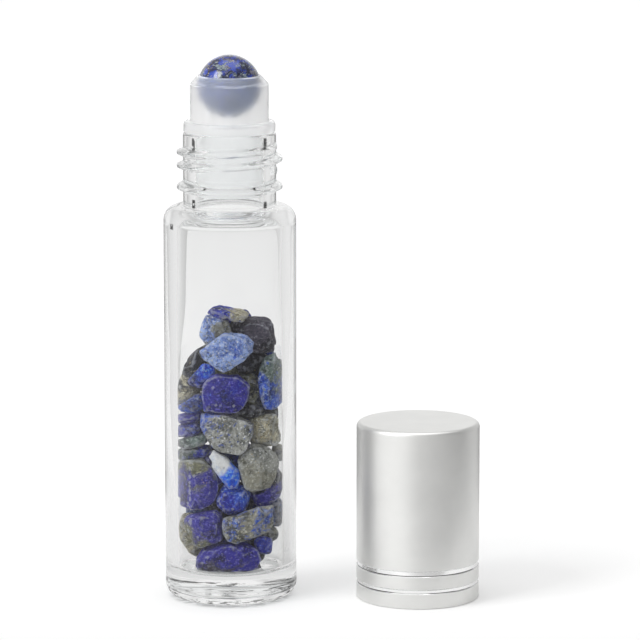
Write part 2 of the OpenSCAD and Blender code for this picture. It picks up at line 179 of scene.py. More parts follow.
class Board:
    # the node tree of one material, or of the world
    def __init__(self, tree):
        self.tree = tree
        tree.nodes.clear()

    def add(self, kind, settings, sockets, out=0):
        # settings are set first; sockets is a row of values or links, or has them by name or number
        node = self.tree.nodes.new(kind)
        for key, value in (settings or {}).items():
            setattr(node, key, value)
        pairs = sockets.items() if isinstance(sockets, dict) else enumerate(sockets)
        for key, value in pairs:
            socket = node.inputs[key]
            if isinstance(value, Wire):
                self.tree.links.new(value.socket, socket)
            elif socket.type == "RGBA" and len(value) == 3:
                socket.default_value = (*value, 1)
            else:
                socket.default_value = value
        return Wire(self, node.outputs[out]) if len(node.outputs) else node

    def mix(self, factor, first, second):
        return self.add("ShaderNodeMix", dict(data_type="RGBA"), {0: factor, 6: first, 7: second}, 2)

    def dot(self, first, second):
        return self.add("ShaderNodeVectorMath", dict(operation="DOT_PRODUCT"), (first, second), 1)

    def place(self, shift=(0, 0, 0), stretch=(1, 1, 1)):
        coords = self.add("ShaderNodeTexCoord", None, (), "Object")
        sockets = {"Vector": coords, "Location": shift, "Scale": stretch}
        return self.add("ShaderNodeMapping", None, sockets)

    def noise(self, coords, scale, detail=4, roughness=0.55, distortion=0):
        sockets = {"Vector": coords, "Scale": scale, "Detail": detail, "Roughness": roughness,
                   "Distortion": distortion}
        return self.add("ShaderNodeTexNoise", None, sockets)

    def cells(self, coords, scale):
        return self.add("ShaderNodeTexVoronoi", None, {"Vector": coords, "Scale": scale})

    def bump(self, height, strength, distance):
        sockets = {"Height": height, "Strength": strength, "Distance": distance}
        return self.add("ShaderNodeBump", None, sockets)

    def ray(self, kind):
        return self.add("ShaderNodeLightPath", None, (), kind)

    def principled(self, sockets):
        return self.add("ShaderNodeBsdfPrincipled", None, sockets)

    def mixShader(self, factor, first, second):
        return self.add("ShaderNodeMixShader", None, (factor, first, second))

    def surface(self, shader):
        self.add("ShaderNodeOutputMaterial", None, {"Surface": shader})


def newMaterial(name):
    material = bpy.data.materials.new(name)
    material.use_nodes = True
    return material, Board(material.node_tree)


def paint(red, green, blue):
    # a colour as read on a screen, 0 to 255, in the renderer's own linear values
    def linear(v):
        v = v / 255
        return v / 12.92 if v <= 0.04045 else ((v + 0.055) / 1.055) ** 2.4
    return linear(red), linear(green), linear(blue)


# Glass vial

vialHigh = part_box("glass_bottle")[1]
vial = dict(
    segments=224, radius=vialHigh.x, height=vialHigh.z,
    wall=0.002, baseThickness=0.0045, heelRadius=0.0022, floorRadius=0.001,
    puntRadius=0.0068, puntDepth=0.0005, footStep=0.00025,
    shoulderRadius=0.0022, shoulderThickness=0.0015, innerShoulderRadius=0.0015,
    neckRadius=0.007, boreRadius=0.0052, neckHeight=0.0112, neckFillet=0.00035, lipRadius=0.0005,
    rowStep=0.00012, wallStep=0.0012,
    threadReach=0.00095, pitch=0.002, turns=2, threadDrop=0.0021, threadRoot=0.00072, threadCrest=0.00018,
    beadDrop=0.0083, beadRoot=0.0008,
    wave=0.00005, waveScale=260, waveRise=70, floorWave=0.00012,
    footDent=0.00009, dentScale=1100, wideDentScale=420, stippleTop=0.0006,
)


def threadProfile(offset, root, crest):
    return ease((root - abs(offset)) / (root - crest))


def threadHeight(azimuth, z, start, pitch, turns, root, crest):
    # share of full reach that a thread from azimuth 0 has at a place on its cylinder
    reach = 0
    for k in range(math.ceil(turns) + 1):
        along = k + azimuth / (2 * math.pi)
        if along <= turns:
            runOut = min(1, 0.05 + along / 0.12, 0.05 + (turns - along) / 0.12)
            reach = max(reach, runOut * threadProfile(z - start - pitch * along, root, crest))
    return reach


def makeVial():
    v = vial
    neckZ = v["height"] - v["neckHeight"]
    shoulderZ = neckZ - v["shoulderRadius"]
    ceilingZ = neckZ - v["shoulderThickness"]
    innerRadius = v["radius"] - v["wall"]
    corner = v["innerShoulderRadius"]
    lip = v["lipRadius"]
    floorZ = v["baseThickness"]
    puntBall = (v["puntRadius"] ** 2 + v["puntDepth"] ** 2) / (2 * v["puntDepth"])
    puntEdge = math.degrees(math.asin(v["puntRadius"] / puntBall))
    outline = arc((0, v["puntDepth"] - puntBall), puntBall, 90, 90 - puntEdge, 24)
    outline += [(v["puntRadius"] + v["footStep"] * i, 0) for i in range(1, 4)]
    outline += arc((v["radius"] - v["heelRadius"], v["heelRadius"]), v["heelRadius"], -90, 0, 14)
    outline += climb(v["radius"], v["heelRadius"], shoulderZ, v["wallStep"])
    outline += arc((v["radius"] - v["shoulderRadius"], shoulderZ), v["shoulderRadius"], 0, 88, 14)
    fillet = v["neckFillet"]
    outline += arc((v["neckRadius"] + fillet, neckZ + fillet), fillet, -90, -180, 5)
    outline += climb(v["neckRadius"], neckZ + fillet, v["height"] - lip, v["rowStep"])
    outline += arc((v["neckRadius"] - lip, v["height"] - lip), lip, 0, 90, 8)
    outline += arc((v["boreRadius"] + lip / 2, v["height"] - lip / 2), lip / 2, 90, 180, 5)
    outline += climb(v["boreRadius"], v["height"] - lip / 2, ceilingZ + corner / 3, v["wallStep"] / 2)
    outline += arc((v["boreRadius"] + corner / 3, ceilingZ + corner / 3), corner / 3, -180, -90, 5)
    outline += arc((innerRadius - corner, ceilingZ - corner), corner, 90, 0, 10)
    outline += climb(innerRadius, ceilingZ - corner, floorZ + v["floorRadius"], v["wallStep"])
    outline += arc((innerRadius - v["floorRadius"], floorZ + v["floorRadius"]), v["floorRadius"], 0, -90, 8)
    outline += [(innerRadius * share, floorZ) for share in (0.7, 0.55, 0.4, 0.25, 0.1, 0)]
    item = spinProfile("glass_vial", outline, v["segments"])
    start = v["height"] - v["threadDrop"] - v["turns"] * v["pitch"]
    beadZ = v["height"] - v["beadDrop"]

    def mould(p):
        radius = math.hypot(p.x, p.y)
        if abs(radius - v["neckRadius"]) < 1e-6 and p.z > neckZ:
            azimuth = math.atan2(p.y, p.x) % (2 * math.pi)
            share = threadHeight(azimuth, p.z, start, v["pitch"], v["turns"],
                                 v["threadRoot"], v["threadCrest"])
            share = max(share, threadProfile(p.z - beadZ, v["beadRoot"], v["threadCrest"]))
            grown = 1 + share * v["threadReach"] / v["neckRadius"]
            return Vector((p.x * grown, p.y * grown, p.z))
        if p.z < v["stippleTop"] and radius < v["radius"] - v["heelRadius"] * 0.6:
            # the foot is stippled where the mould parted from it
            fine = noise.noise(p * v["dentScale"])
            wide = noise.noise(p * v["wideDentScale"] + Vector((5, 2, 1)))
            return Vector((p.x, p.y, p.z + (max(0, fine) + max(0, wide)) * v["footDent"]))
        inside = radius < innerRadius + 1e-5 and floorZ - 1e-5 < p.z < ceilingZ
        if inside and radius > 1e-6:
            if p.z < floorZ + v["floorRadius"]:
                lift = noise.noise(p * v["waveScale"] + Vector((3, 1, 7))) * v["floorWave"]
                return Vector((p.x, p.y, p.z + lift))
            around = Vector((p.x * v["waveScale"], p.y * v["waveScale"], p.z * v["waveRise"]))
            wave = noise.noise(around) * v["wave"]
            # the wall's inner side only ever moves towards the axis
            grown = 1 - (abs(wave) + wave) / radius
            return Vector((p.x * grown, p.y * grown, p.z))
        return p

    moveVertices(item, mould)
    smooth(item, 40)
    return item


# Roller housing

housingLow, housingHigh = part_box("roller_housing")
ballLow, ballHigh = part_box("roller_ball")
ballRadius = (ballHigh.z - ballLow.z) / 2
ballZ = (ballHigh.z + ballLow.z) / 2
housing = dict(
    segments=160, low=housingLow.z, rim=housingHigh.z, mouth=vial["height"],
    plugRadius=0.00505, plugWall=0.0012, leadIn=0.0007, beads=3, beadRadius=0.0004, beadInset=0.00002,
    flangeRadius=0.0069, flangeHeight=0.0016, flangeRound=0.00045, flangeEdge=0.0001,
    cupRadius=0.0059, cupFillet=0.0002, chamfer=0.0013, land=0.00022, edgeRound=0.00020,
    socketClear=0.00005, web=0.0012, feedRadius=0.0023, sideFeedRadius=0.00045, sideFeeds=4, drillSink=0.0005,
)


def makeHousing():
    h = housing
    socket = ballRadius + h["socketClear"]
    rimRadius = math.sqrt(socket ** 2 - (h["rim"] - ballZ) ** 2)
    webZ = ballZ - socket - h["web"]
    plugDepth = h["mouth"] - h["low"]
    boreRadius = vial["boreRadius"]
    outline = [(h["plugRadius"] - h["leadIn"] / 2, h["low"]), (h["plugRadius"], h["low"] + h["leadIn"])]
    for i in range(h["beads"], 0, -1):
        z = h["mouth"] - i * plugDepth / (h["beads"] + 1)
        centre = boreRadius - h["beadInset"] - h["beadRadius"]
        side = math.degrees(math.acos((h["plugRadius"] - centre) / h["beadRadius"]))
        outline += arc((centre, z), h["beadRadius"], -side, side, 6)
    lowEdge, topEdge, fillet = h["flangeEdge"], h["flangeRound"], h["cupFillet"]
    outline += [(h["plugRadius"], h["mouth"]), (h["flangeRadius"] - lowEdge, h["mouth"])]
    outline += arc((h["flangeRadius"] - lowEdge, h["mouth"] + lowEdge), lowEdge, -90, 0, 3)
    flangeTop = h["mouth"] + h["flangeHeight"]
    outline += arc((h["flangeRadius"] - topEdge, flangeTop - topEdge), topEdge, 0, 90, 6)
    outline += [(h["cupRadius"] + fillet, flangeTop)]
    outline += arc((h["cupRadius"] + fillet, flangeTop + fillet), fillet, -90, -180, 4)
    shoulderZ = h["rim"] - h["chamfer"]
    edge = h["edgeRound"]
    # both edges of the chamfer are rounded, which gives each its thin line of light
    run = h["cupRadius"] - rimRadius - h["land"]
    slope = math.degrees(math.atan2(run, h["chamfer"]))
    outerBack = edge * math.tan(math.radians(slope / 2))
    outline += arc((h["cupRadius"] - edge, shoulderZ - outerBack), edge, 0, slope, 5)
    upperBack = edge * math.tan(math.radians((90 - slope) / 2))
    outline += arc((rimRadius + h["land"] - upperBack, h["rim"] - edge), edge, slope, 90, 5)
    top = math.degrees(math.asin((h["rim"] - ballZ) / socket))
    bottom = math.degrees(math.acos(h["feedRadius"] / socket))
    outline += arc((0, ballZ), socket, top, -bottom, 28)
    outline += [(h["feedRadius"], webZ), (h["plugRadius"] - h["plugWall"], webZ)]
    outline += [(h["plugRadius"] - h["plugWall"], h["low"]), outline[0]]
    item = spinProfile("roller_fitment", outline, h["segments"])
    cutters = []
    drillLength = socket + h["web"]
    drillZ = webZ + drillLength / 2 - h["drillSink"]
    feedRing = (h["feedRadius"] + h["plugRadius"] - h["plugWall"]) / 2
    for i in range(h["sideFeeds"]):
        angle = 2 * math.pi * i / h["sideFeeds"]
        place = (feedRing * math.cos(angle), feedRing * math.sin(angle), drillZ)
        deselectAll()
        bpy.ops.mesh.primitive_cylinder_add(vertices=24, radius=h["sideFeedRadius"], depth=drillLength,
                                            location=place)
        cutters.append(bpy.context.object)
    for cutter in cutters:
        drill = item.modifiers.new("feed", "BOOLEAN")
        drill.operation = "DIFFERENCE"
        drill.solver = "EXACT"
        drill.object = cutter
    applyModifiers(item)
    for cutter in cutters:
        bpy.data.objects.remove(cutter)
    smooth(item, 30)
    return item


# Ball

ball = dict(subdivisions=6, pit=0.000012, pitScale=900, pitStart=0.35, veil=0.75)


def makeBall():
    deselectAll()
    bpy.ops.mesh.primitive_ico_sphere_add(subdivisions=ball["subdivisions"], radius=ballRadius,
                                          location=(0, 0, ballZ))
    item = bpy.context.object
    item.name = item.data.name = "lapis_ball"
    bpy.ops.object.transform_apply(location=True, rotation=True, scale=True)
    centre = Vector((0, 0, ballZ))

    def polish(p):
        pit = max(0, noise.noise(p * ball["pitScale"]) - ball["pitStart"]) * ball["pit"]
        return centre + (p - centre) * (1 - pit / ballRadius)

    moveVertices(item, polish)
    smooth(item, 60)
    return item


# Cap

capLow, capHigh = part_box("cap_shell")
linerLow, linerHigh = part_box("cap_liner")
discLow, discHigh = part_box("cap_seal_disc")
capCentre = ((capLow.x + capHigh.x) / 2, (capLow.y + capHigh.y) / 2)
cap = dict(
    segments=256, radius=(capHigh.x - capLow.x) / 2, height=capHigh.z, metal=0.00045, edgeRadius=0.00075,
    hem=0.00012, lowRing=0.0026, lowWidth=0.00072, highRing=0.00535, highWidth=0.0009, ringDepth=0.00015,
    wallStep=0.002, skin=0.0001,
)
liner = dict(
    segments=160, low=linerLow.z, high=linerHigh.z, radius=(linerHigh.x - linerLow.x) / 2,
    bore=0.00815, top=0.0012, edgeRadius=0.0006, rib=0.0005, discLow=discLow.z,
    ridgeReach=0.00095, ridgeStart=0.0065, ridgeTurns=1.75, ridgeRoot=0.00055, ridgeCrest=0.0002,
    ridgeFoot=0.0001, rowStep=0.00015, discGap=0.00012,
)
disc = dict(segments=96, radius=(discHigh.x - discLow.x) / 2, edge=0.0002125, dish=0.0001)


def grooveOutline(z, width):
    half = width / 2
    deep = cap["ringDepth"]
    radius = cap["radius"]
    bottom = radius - deep
    return [(radius, z - half), (bottom, z - half + deep), (bottom, z + half - deep), (radius, z + half)]


def makeCapShell():
    c = cap
    inner = c["radius"] - c["metal"]
    innerTop = c["height"] - c["metal"]
    innerEdge = c["edgeRadius"] - c["metal"] / 2
    outline = [(inner, 0), (c["radius"] - c["hem"], 0)]
    outline += arc((c["radius"] - c["hem"], c["hem"]), c["hem"], -90, 0, 4)
    outline += grooveOutline(c["lowRing"], c["lowWidth"])
    outline += grooveOutline(c["highRing"], c["highWidth"])
    top = c["height"] - c["edgeRadius"]
    outline += climb(c["radius"], c["highRing"] + c["highWidth"] / 2, top, c["wallStep"])
    outline += arc((c["radius"] - c["edgeRadius"], top), c["edgeRadius"], 0, 90, 14)
    outline += [(c["radius"] * share, c["height"]) for share in (0.7, 0.45, 0.2, 0)]
    outline += [(c["radius"] * share, innerTop) for share in (0, 0.3, 0.6)]
    outline += arc((inner - innerEdge, innerTop - innerEdge), innerEdge, 90, 0, 8)
    outline += climb(inner, innerTop - innerEdge, 0, c["wallStep"])
    item = spinProfile("cap_cover", outline, c["segments"], capCentre)
    smooth(item, 25)
    for face in item.data.polygons:
        z = face.center.z
        out = math.hypot(face.center.x - capCentre[0], face.center.y - capCentre[1])
        low = abs(z - c["lowRing"]) < c["lowWidth"] / 2
        high = abs(z - c["highRing"]) < c["highWidth"] / 2
        if out > inner + c["skin"] and (low or high):
            face.material_index = 1
    return item


def makeCapLiner():
    s = liner
    outline = [(s["bore"], s["low"]), (s["radius"], s["low"]), (s["radius"], s["high"] - s["edgeRadius"])]
    outline += arc((s["radius"] - s["edgeRadius"], s["high"] - s["edgeRadius"]), s["edgeRadius"], 0, 90, 8)
    outline += [(s["radius"] / 2, s["high"]), (0, s["high"]), (0, s["high"] - s["top"])]
    outline += [(s["bore"] / 2, s["high"] - s["top"]), (s["bore"], s["high"] - s["top"])]
    ribTop = s["discLow"] - s["discGap"]
    outline += [(s["bore"], ribTop), (s["bore"] - s["rib"], ribTop)]
    outline += [(s["bore"] - s["rib"], ribTop - s["rib"] / 2), (s["bore"], ribTop - s["rib"])]
    outline += climb(s["bore"], ribTop - s["rib"], s["low"], s["rowStep"])
    item = spinProfile("cap_inner", outline, s["segments"])

    def mould(p):
        radius = math.hypot(p.x, p.y)
        if abs(radius - s["bore"]) < 1e-6 and p.z > s["low"] + s["ridgeFoot"]:
            azimuth = math.atan2(p.y, p.x) % (2 * math.pi)
            share = threadHeight(azimuth, p.z, s["ridgeStart"], vial["pitch"], s["ridgeTurns"],
                                 s["ridgeRoot"], s["ridgeCrest"])
            shrunk = 1 - share * s["ridgeReach"] / s["bore"]
            p = Vector((p.x * shrunk, p.y * shrunk, p.z))
        return Vector((p.x + capCentre[0], p.y + capCentre[1], p.z))

    moveVertices(item, mould)
    smooth(item, 35)
    return item


def makeCapDisc():
    d = disc
    low, high = discLow.z, discHigh.z
    outline = [(0, low + d["dish"]), (d["radius"] * 0.5, low + d["dish"]), (d["radius"] * 0.7, low)]
    outline += arc((d["radius"] - d["edge"], low + d["edge"]), d["edge"], -90, 0, 5)
    outline += [(d["radius"], high), (d["radius"] / 2, high), (0, high)]
    item = spinProfile("cap_disc", outline, d["segments"], capCentre)
    smooth(item, 30)
    return item


# Lapis chips

chip = dict(voxel=0.00014, smoothing=1, facets=0.00040, facetScale=0.0024, facetMiddle=0.36,
            grain=0.00014, grainScale=0.0006, grainMiddle=0.42, clear=0.00014, innerGrowth=0.0002)


def makeTexture(name, kind, scale):
    texture = bpy.data.textures.new(name, kind)
    texture.noise_scale = scale
    return texture


facetTexture = makeTexture("chip_facets", "VORONOI", chip["facetScale"])
grainTexture = makeTexture("chip_grain", "CLOUDS", chip["grainScale"])


def makeChip(node, grown):
    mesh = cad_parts[node].data.copy()
    mesh.materials.clear()
    item = bpy.data.objects.new(node + "_stone", mesh)
    scene.collection.objects.link(item)
    makeActive(item)
    bpy.ops.object.mode_set(mode="EDIT")
    bpy.ops.mesh.select_all(action="SELECT")
    bpy.ops.mesh.remove_doubles(threshold=1e-6)
    bpy.ops.mesh.normals_make_consistent(inside=False)
    bpy.ops.object.mode_set(mode="OBJECT")
    remesh = item.modifiers.new("stone", "REMESH")
    remesh.mode = "VOXEL"
    remesh.voxel_size = chip["voxel"]
    tumble = item.modifiers.new("tumble", "SMOOTH")
    tumble.factor = 0.6
    tumble.iterations = chip["smoothing"]
    facetMiddle = chip["facetMiddle"] - grown / chip["facets"]
    wears = (
        (facetTexture, chip["facets"], facetMiddle),
        (grainTexture, chip["grain"], chip["grainMiddle"]),
    )
    for texture, strength, middle in wears:
        wear = item.modifiers.new("wear", "DISPLACE")
        wear.texture = texture
        wear.texture_coords = "LOCAL"
        wear.strength = strength
        wear.mid_level = middle
    applyModifiers(item)
    limit = vial["radius"] - vial["wall"] - chip["clear"]

    def holdInside(p):
        radius = math.hypot(p.x, p.y)
        shrunk = min(1, limit / radius) if radius > 0 else 1
        return Vector((p.x * shrunk, p.y * shrunk, max(p.z, vial["baseThickness"] + vial["floorWave"])))

    moveVertices(item, holdInside)
    smooth(item, 60)
    return item


# Materials

glass = dict(
    tint=(0.99, 0.992, 0.991), clear=(0.95, 0.96, 0.96), shade=(0.88, 0.89, 0.89), ior=1.5, sheen=0.4,
    depth=5, neckDepth=4, baseGlow=0.76, baseFade=0.0004, mirrorTop=0.012, mirrorFade=0.004,
)
# painted dark reflections in the base of the glass, each with the heights or widths at which it starts and
# ends
paintedDark = dict(
    dark=(0.06, 0.06, 0.06), share=0.92, scale=760, squeeze=4.5, thick=(0.51, 0.58),
    side=(0.0072, 0.0086), sideTop=(0.0026, 0.0034), footStart=(0.0003, 0.0006), footTop=(0.0008, 0.0014),
    line=0.0027, lineWidth=(0.00003, 0.00009), lineScale=190, lineBreaks=(0.54, 0.6),
)
# dark upright glints of the neck and the shoulder: x, lowest and highest point
glints = [
    (-0.0053, 0.0689, 0.0709), (0.0054, 0.0692, 0.0709),
    (-0.0053, 0.0602, 0.0616), (0.0054, 0.0602, 0.0613),
    (-0.0086, 0.0571, 0.0580),
]
glint = dict(width=0.0003, front=(-0.003, -0.002), tornScale=1500, torn=(0.36, 0.46))


def paintedDarkReflections(board, coords, height):
    # painted dark reflections: where the glass is dark, streaks round the foot, up the sides of the base and
    # in a line across its front, and the dark glints
    across, along = [board.dot(coords, axis) for axis in ((1, 0, 0), (0, 1, 0))]
    side = across.size().above(*paintedDark["side"]) * (1 - height.above(*paintedDark["sideTop"]))
    foot = height.above(*paintedDark["footStart"]) * (1 - height.above(*paintedDark["footTop"]))
    streaks = board.noise(board.place(stretch=(1, 1, paintedDark["squeeze"])), paintedDark["scale"], 5, 0.68)
    darkMask = side.largest(foot) * streaks.above(*paintedDark["thick"])
    broken = board.noise(coords, paintedDark["lineScale"], 3, 0.6).above(*paintedDark["lineBreaks"])
    darkMask = darkMask.largest(height.near(paintedDark["line"], *paintedDark["lineWidth"]) * broken)
    torn = board.noise(coords, glint["tornScale"], 3, 0.6).above(*glint["torn"])
    torn = torn * (1 - along.above(*glint["front"]))
    for x, low, high in glints:
        length = high - low
        upright = across.near(x, glint["width"] / 2, glint["width"])
        darkMask = darkMask.largest(upright * height.near((low + high) / 2, length * 0.4, length * 0.5) * torn)
    return darkMask * paintedDark["share"]


def makeGlass():
    material, board = newMaterial("clear_flint_glass")
    g = glass
    solid = board.principled({"Base Color": g["tint"], "Roughness": 0.0, "IOR": g["ior"],
                              "Transmission Weight": 1.0, "Specular Tint": (g["sheen"],) * 3})
    tones = (g["clear"], g["shade"], paintedDark["dark"])
    clear, shade, dark = [board.add("ShaderNodeBsdfTransparent", None, (tone,)) for tone in tones]
    coords = board.place()
    height = board.dot(coords, (0, 0, 1))
    # light that has bounced many times inside the walls is let out, as a long path would end black
    shoulder = vial["height"] - vial["neckHeight"] - vial["shoulderRadius"] * 2
    inNeck = height.above(shoulder, shoulder + 0.001)
    bounces = board.ray("Ray Depth") + inNeck * (g["depth"] - g["neckDepth"])
    lost = bounces.above(g["depth"] - 0.5, g["depth"])
    # in the base, and in mirror rays of the wall just above it, it ends in a painted pale glow
    inBase = 1 - height.above(vial["baseThickness"] - g["baseFade"], vial["baseThickness"])
    aboveBase = 1 - height.above(g["mirrorTop"], g["mirrorTop"] + g["mirrorFade"])
    pale = board.add("ShaderNodeEmission", None, ((1, 1, 1), g["baseGlow"]))
    clear = board.mixShader(inBase.largest(board.ray("Is Reflection Ray") * aboveBase), clear, pale)
    # where the painted dark reflections lie, the glass turns into a dark transparent shader
    solid = board.mixShader(paintedDarkReflections(board, coords, height), solid, dark)
    shading = board.ray("Is Shadow Ray").largest(board.ray("Is Diffuse Ray"))
    board.surface(board.mixShader(shading, board.mixShader(lost, solid, clear), shade))
    return material


milky = dict(
    colour=(253, 253, 253), clear=(0.8, 0.8, 0.81), ior=1.12, through=0.91, rough=0.46, cloudRough=0.1,
    cloudScale=500, grainScale=2600, coat=0.5, coatRough=0.12,
    edgeShine=0.35, edgeLine=(0.00003, 0.0001), edgeScale=260, edgeBreaks=(0.4, 0.6),
)


def makeHousingPlastic():
    m = milky
    material, board = newMaterial("translucent_fitment_plastic")
    coords = board.place()
    cloud = board.noise(coords, m["cloudScale"], 3)
    normal = board.bump(board.noise(coords, m["grainScale"], 2), 0.08, 0.0002)
    # a thin broken line of light on both edges of the chamfer
    height = board.dot(coords, (0, 0, 1))
    rim, corner = housing["rim"] - housing["edgeRound"] / 2, housing["rim"] - housing["chamfer"]
    line = height.near(rim, *m["edgeLine"]).largest(height.near(corner, *m["edgeLine"]))
    line = line * board.noise(coords, m["edgeScale"], 2).above(*m["edgeBreaks"])
    plastic = board.principled({
        "Emission Color": board.mix(line, (0, 0, 0), (1, 1, 1)), "Emission Strength": m["edgeShine"],
        "Base Color": paint(*m["colour"]), "Roughness": m["rough"] + cloud * m["cloudRough"], "IOR": m["ior"],
        "Transmission Weight": m["through"], "Coat Weight": m["coat"], "Coat Roughness": m["coatRough"],
        "Normal": normal})
    clear = board.add("ShaderNodeBsdfTransparent", None, (m["clear"],))
    board.surface(board.mixShader(board.ray("Is Shadow Ray"), plastic, clear))
    return material


lapisTones = dict(
    ultramarine=((6, 8, 58), (24, 30, 140), (86, 106, 214)),
    violet=((18, 14, 64), (44, 38, 134), (94, 90, 182)),
    bright=((8, 40, 172), (28, 92, 234), (124, 172, 250)),
    azure=((16, 36, 118), (46, 80, 186), (144, 168, 224)),
    powder=((80, 106, 180), (144, 166, 218), (224, 228, 236)),
    slate=((32, 30, 40), (70, 66, 78), (114, 110, 120)),
    grey=((84, 84, 76), (132, 130, 118), (180, 178, 166)),
    pale=((94, 96, 92), (156, 156, 150), (214, 214, 206)),
    olive=((48, 50, 36), (100, 100, 80), (160, 158, 130)),
    tan=((106, 100, 80), (170, 162, 138), (214, 208, 186)),
    green=((40, 54, 52), (92, 106, 102), (156, 166, 158)),
    teal=((12, 24, 74), (36, 64, 128), (118, 142, 168)),
    dark=((4, 4, 8), (20, 20, 28), (60, 60, 72)),
    white=((204, 212, 226), (230, 234, 238), (246, 246, 244)),
)


lapis = dict(
    lift=(1.1, 1.3, 1.5), brightest=0.9, firstScale=320, secondScale=400, blotchScale=330, spotScale=1300,
    veinScale=520, vein=(10, 10, 22), hollowShade=(6, 6, 12), wornHighlight=(188, 190, 198), fleckScale=4000,
    fleck=(220, 222, 226), goldScale=2600, gold=(206, 178, 112), ior=1.5, specular=0.22, bumpDepth=0.0004,
    mirrorFade=0.65, mirrorGlow=0.55,
)


def stoneTone(board, coords, tones, scale):
    # three tones of one stone, mottled at two sizes
    lifted = []
    for tone, lift in zip(tones, lapis["lift"]):
        lifted.append([min(lapis["brightest"], v * lift) for v in paint(*tone)])
    dark, main, light = lifted
    patches = board.noise(coords, scale, 7, 0.72, 0.5)
    speckle = board.noise(coords, scale * 7, 6, 0.8)
    colour = board.mix(patches.above(0.38, 0.54), dark, main)
    return board.mix(speckle.above(0.52, 0.63), colour, light)


def makeLapis(name, first, second, share, direction, gloss, speckled, centre, size, seed):
    # share is how much of the second stone shows; direction turns it to one side of the chip
    material, board = newMaterial(name)
    coords = board.place((0.0131 * seed, 0.0077 * seed, 0.0053 * seed))
    firstTone = stoneTone(board, coords, lapisTones[first], lapis["firstScale"])
    secondTone = stoneTone(board, coords, lapisTones[second], lapis["secondScale"])
    blotch = board.noise(coords, lapis["blotchScale"], 8, 0.5 + 0.22 * speckled, 0.8)
    if direction is not None:
        angle = math.radians(direction)
        aside = board.place(tuple(-v for v in centre))
        blotch = blotch + board.dot(aside, (math.cos(angle), 0, math.sin(angle))) * (0.35 / size)
    edge = 0.66 - 0.32 * share
    soft = 0.13 - 0.08 * speckled
    mask = blotch.above(edge - soft, edge + soft)
    spots = board.noise(coords, lapis["spotScale"], 7, 0.75).above(0.57, 0.61) * (0.9 * speckled)
    colour = board.mix(mask + spots - mask * spots * 2, firstTone, secondTone)
    veins = board.noise(coords, lapis["veinScale"], 6, 0.6, 0.4)
    crack = veins.near(0.5, 0.004, 0.014) * (0.2 + 0.8 * speckled)
    colour = board.mix(crack * 0.75, colour, paint(*lapis["vein"]))
    # rubbed edges are paler, partly wear and partly a painted highlight, and hollows are darkened with
    # painted shade
    curvature = board.add("ShaderNodeNewGeometry", None, (), "Pointiness")
    colour = board.mix(curvature.above(0.505, 0.55) * 0.5, colour, paint(*lapis["wornHighlight"]))
    colour = board.mix((1 - curvature.above(0.455, 0.502)) * 0.85, colour, paint(*lapis["hollowShade"]))
    flecks = board.noise(coords, lapis["fleckScale"], 4, 0.7)
    colour = board.mix(flecks.above(0.64, 0.7) * 0.9, colour, paint(*lapis["fleck"]))
    lucky = board.noise(coords, 420, 2).above(0.54, 0.64)
    gold = (1 - board.cells(coords, lapis["goldScale"]).above(0.10, 0.18)) * lucky
    colour = board.mix(gold, colour, paint(*lapis["gold"]))
    roughness = (0.58 - 0.32 * gloss) + board.noise(coords, 900, 3) * 0.2 - gold * 0.2
    height = board.noise(coords, 1500, 7, 0.72) + flecks * 0.25 - crack * 0.3
    stone = board.principled({
        "Base Color": colour, "Metallic": gold * 0.85, "Roughness": roughness, "IOR": lapis["ior"],
        "Specular IOR Level": lapis["specular"],
        "Normal": board.bump(height, 0.8 - 0.6 * gloss, lapis["bumpDepth"])})
    # where the satin metal or the glass walls mirror the stones, a painted pale glow partly takes their
    # place, so they show only faintly
    deep = board.ray("Ray Depth").above(glass["depth"] - 1.5, glass["depth"] - 1)
    faint = deep.largest(board.ray("Is Transmission Ray") * lapis["mirrorFade"])
    mirrored = board.ray("Glossy Depth").above(0.5, 1) * faint
    paintedGlow = board.add("ShaderNodeEmission", None, ((1, 1, 1), lapis["mirrorGlow"]))
    board.surface(board.mixShader(mirrored, stone, paintedGlow))
    return material


polish = dict(
    deepBlue=(5, 10, 50), blue=(26, 58, 168), paleBlue=(88, 120, 190), darkGrey=(46, 62, 84),
    paleGrey=(140, 152, 154), darkDusk=(34, 34, 72), paleDusk=(122, 118, 132), white=(206, 210, 216),
    gold=(232, 214, 172), fineScale=2400, swirlScale=480, blueScale=640, bandScale=520, whiteScale=3000,
    goldScale=2400, rough=0.14, ior=1.52, coat=0.6, coatRough=0.05,
    veilDark=(34, 72, 128), veilPale=(52, 90, 144), veilRough=0.6, veilScale=260,
)


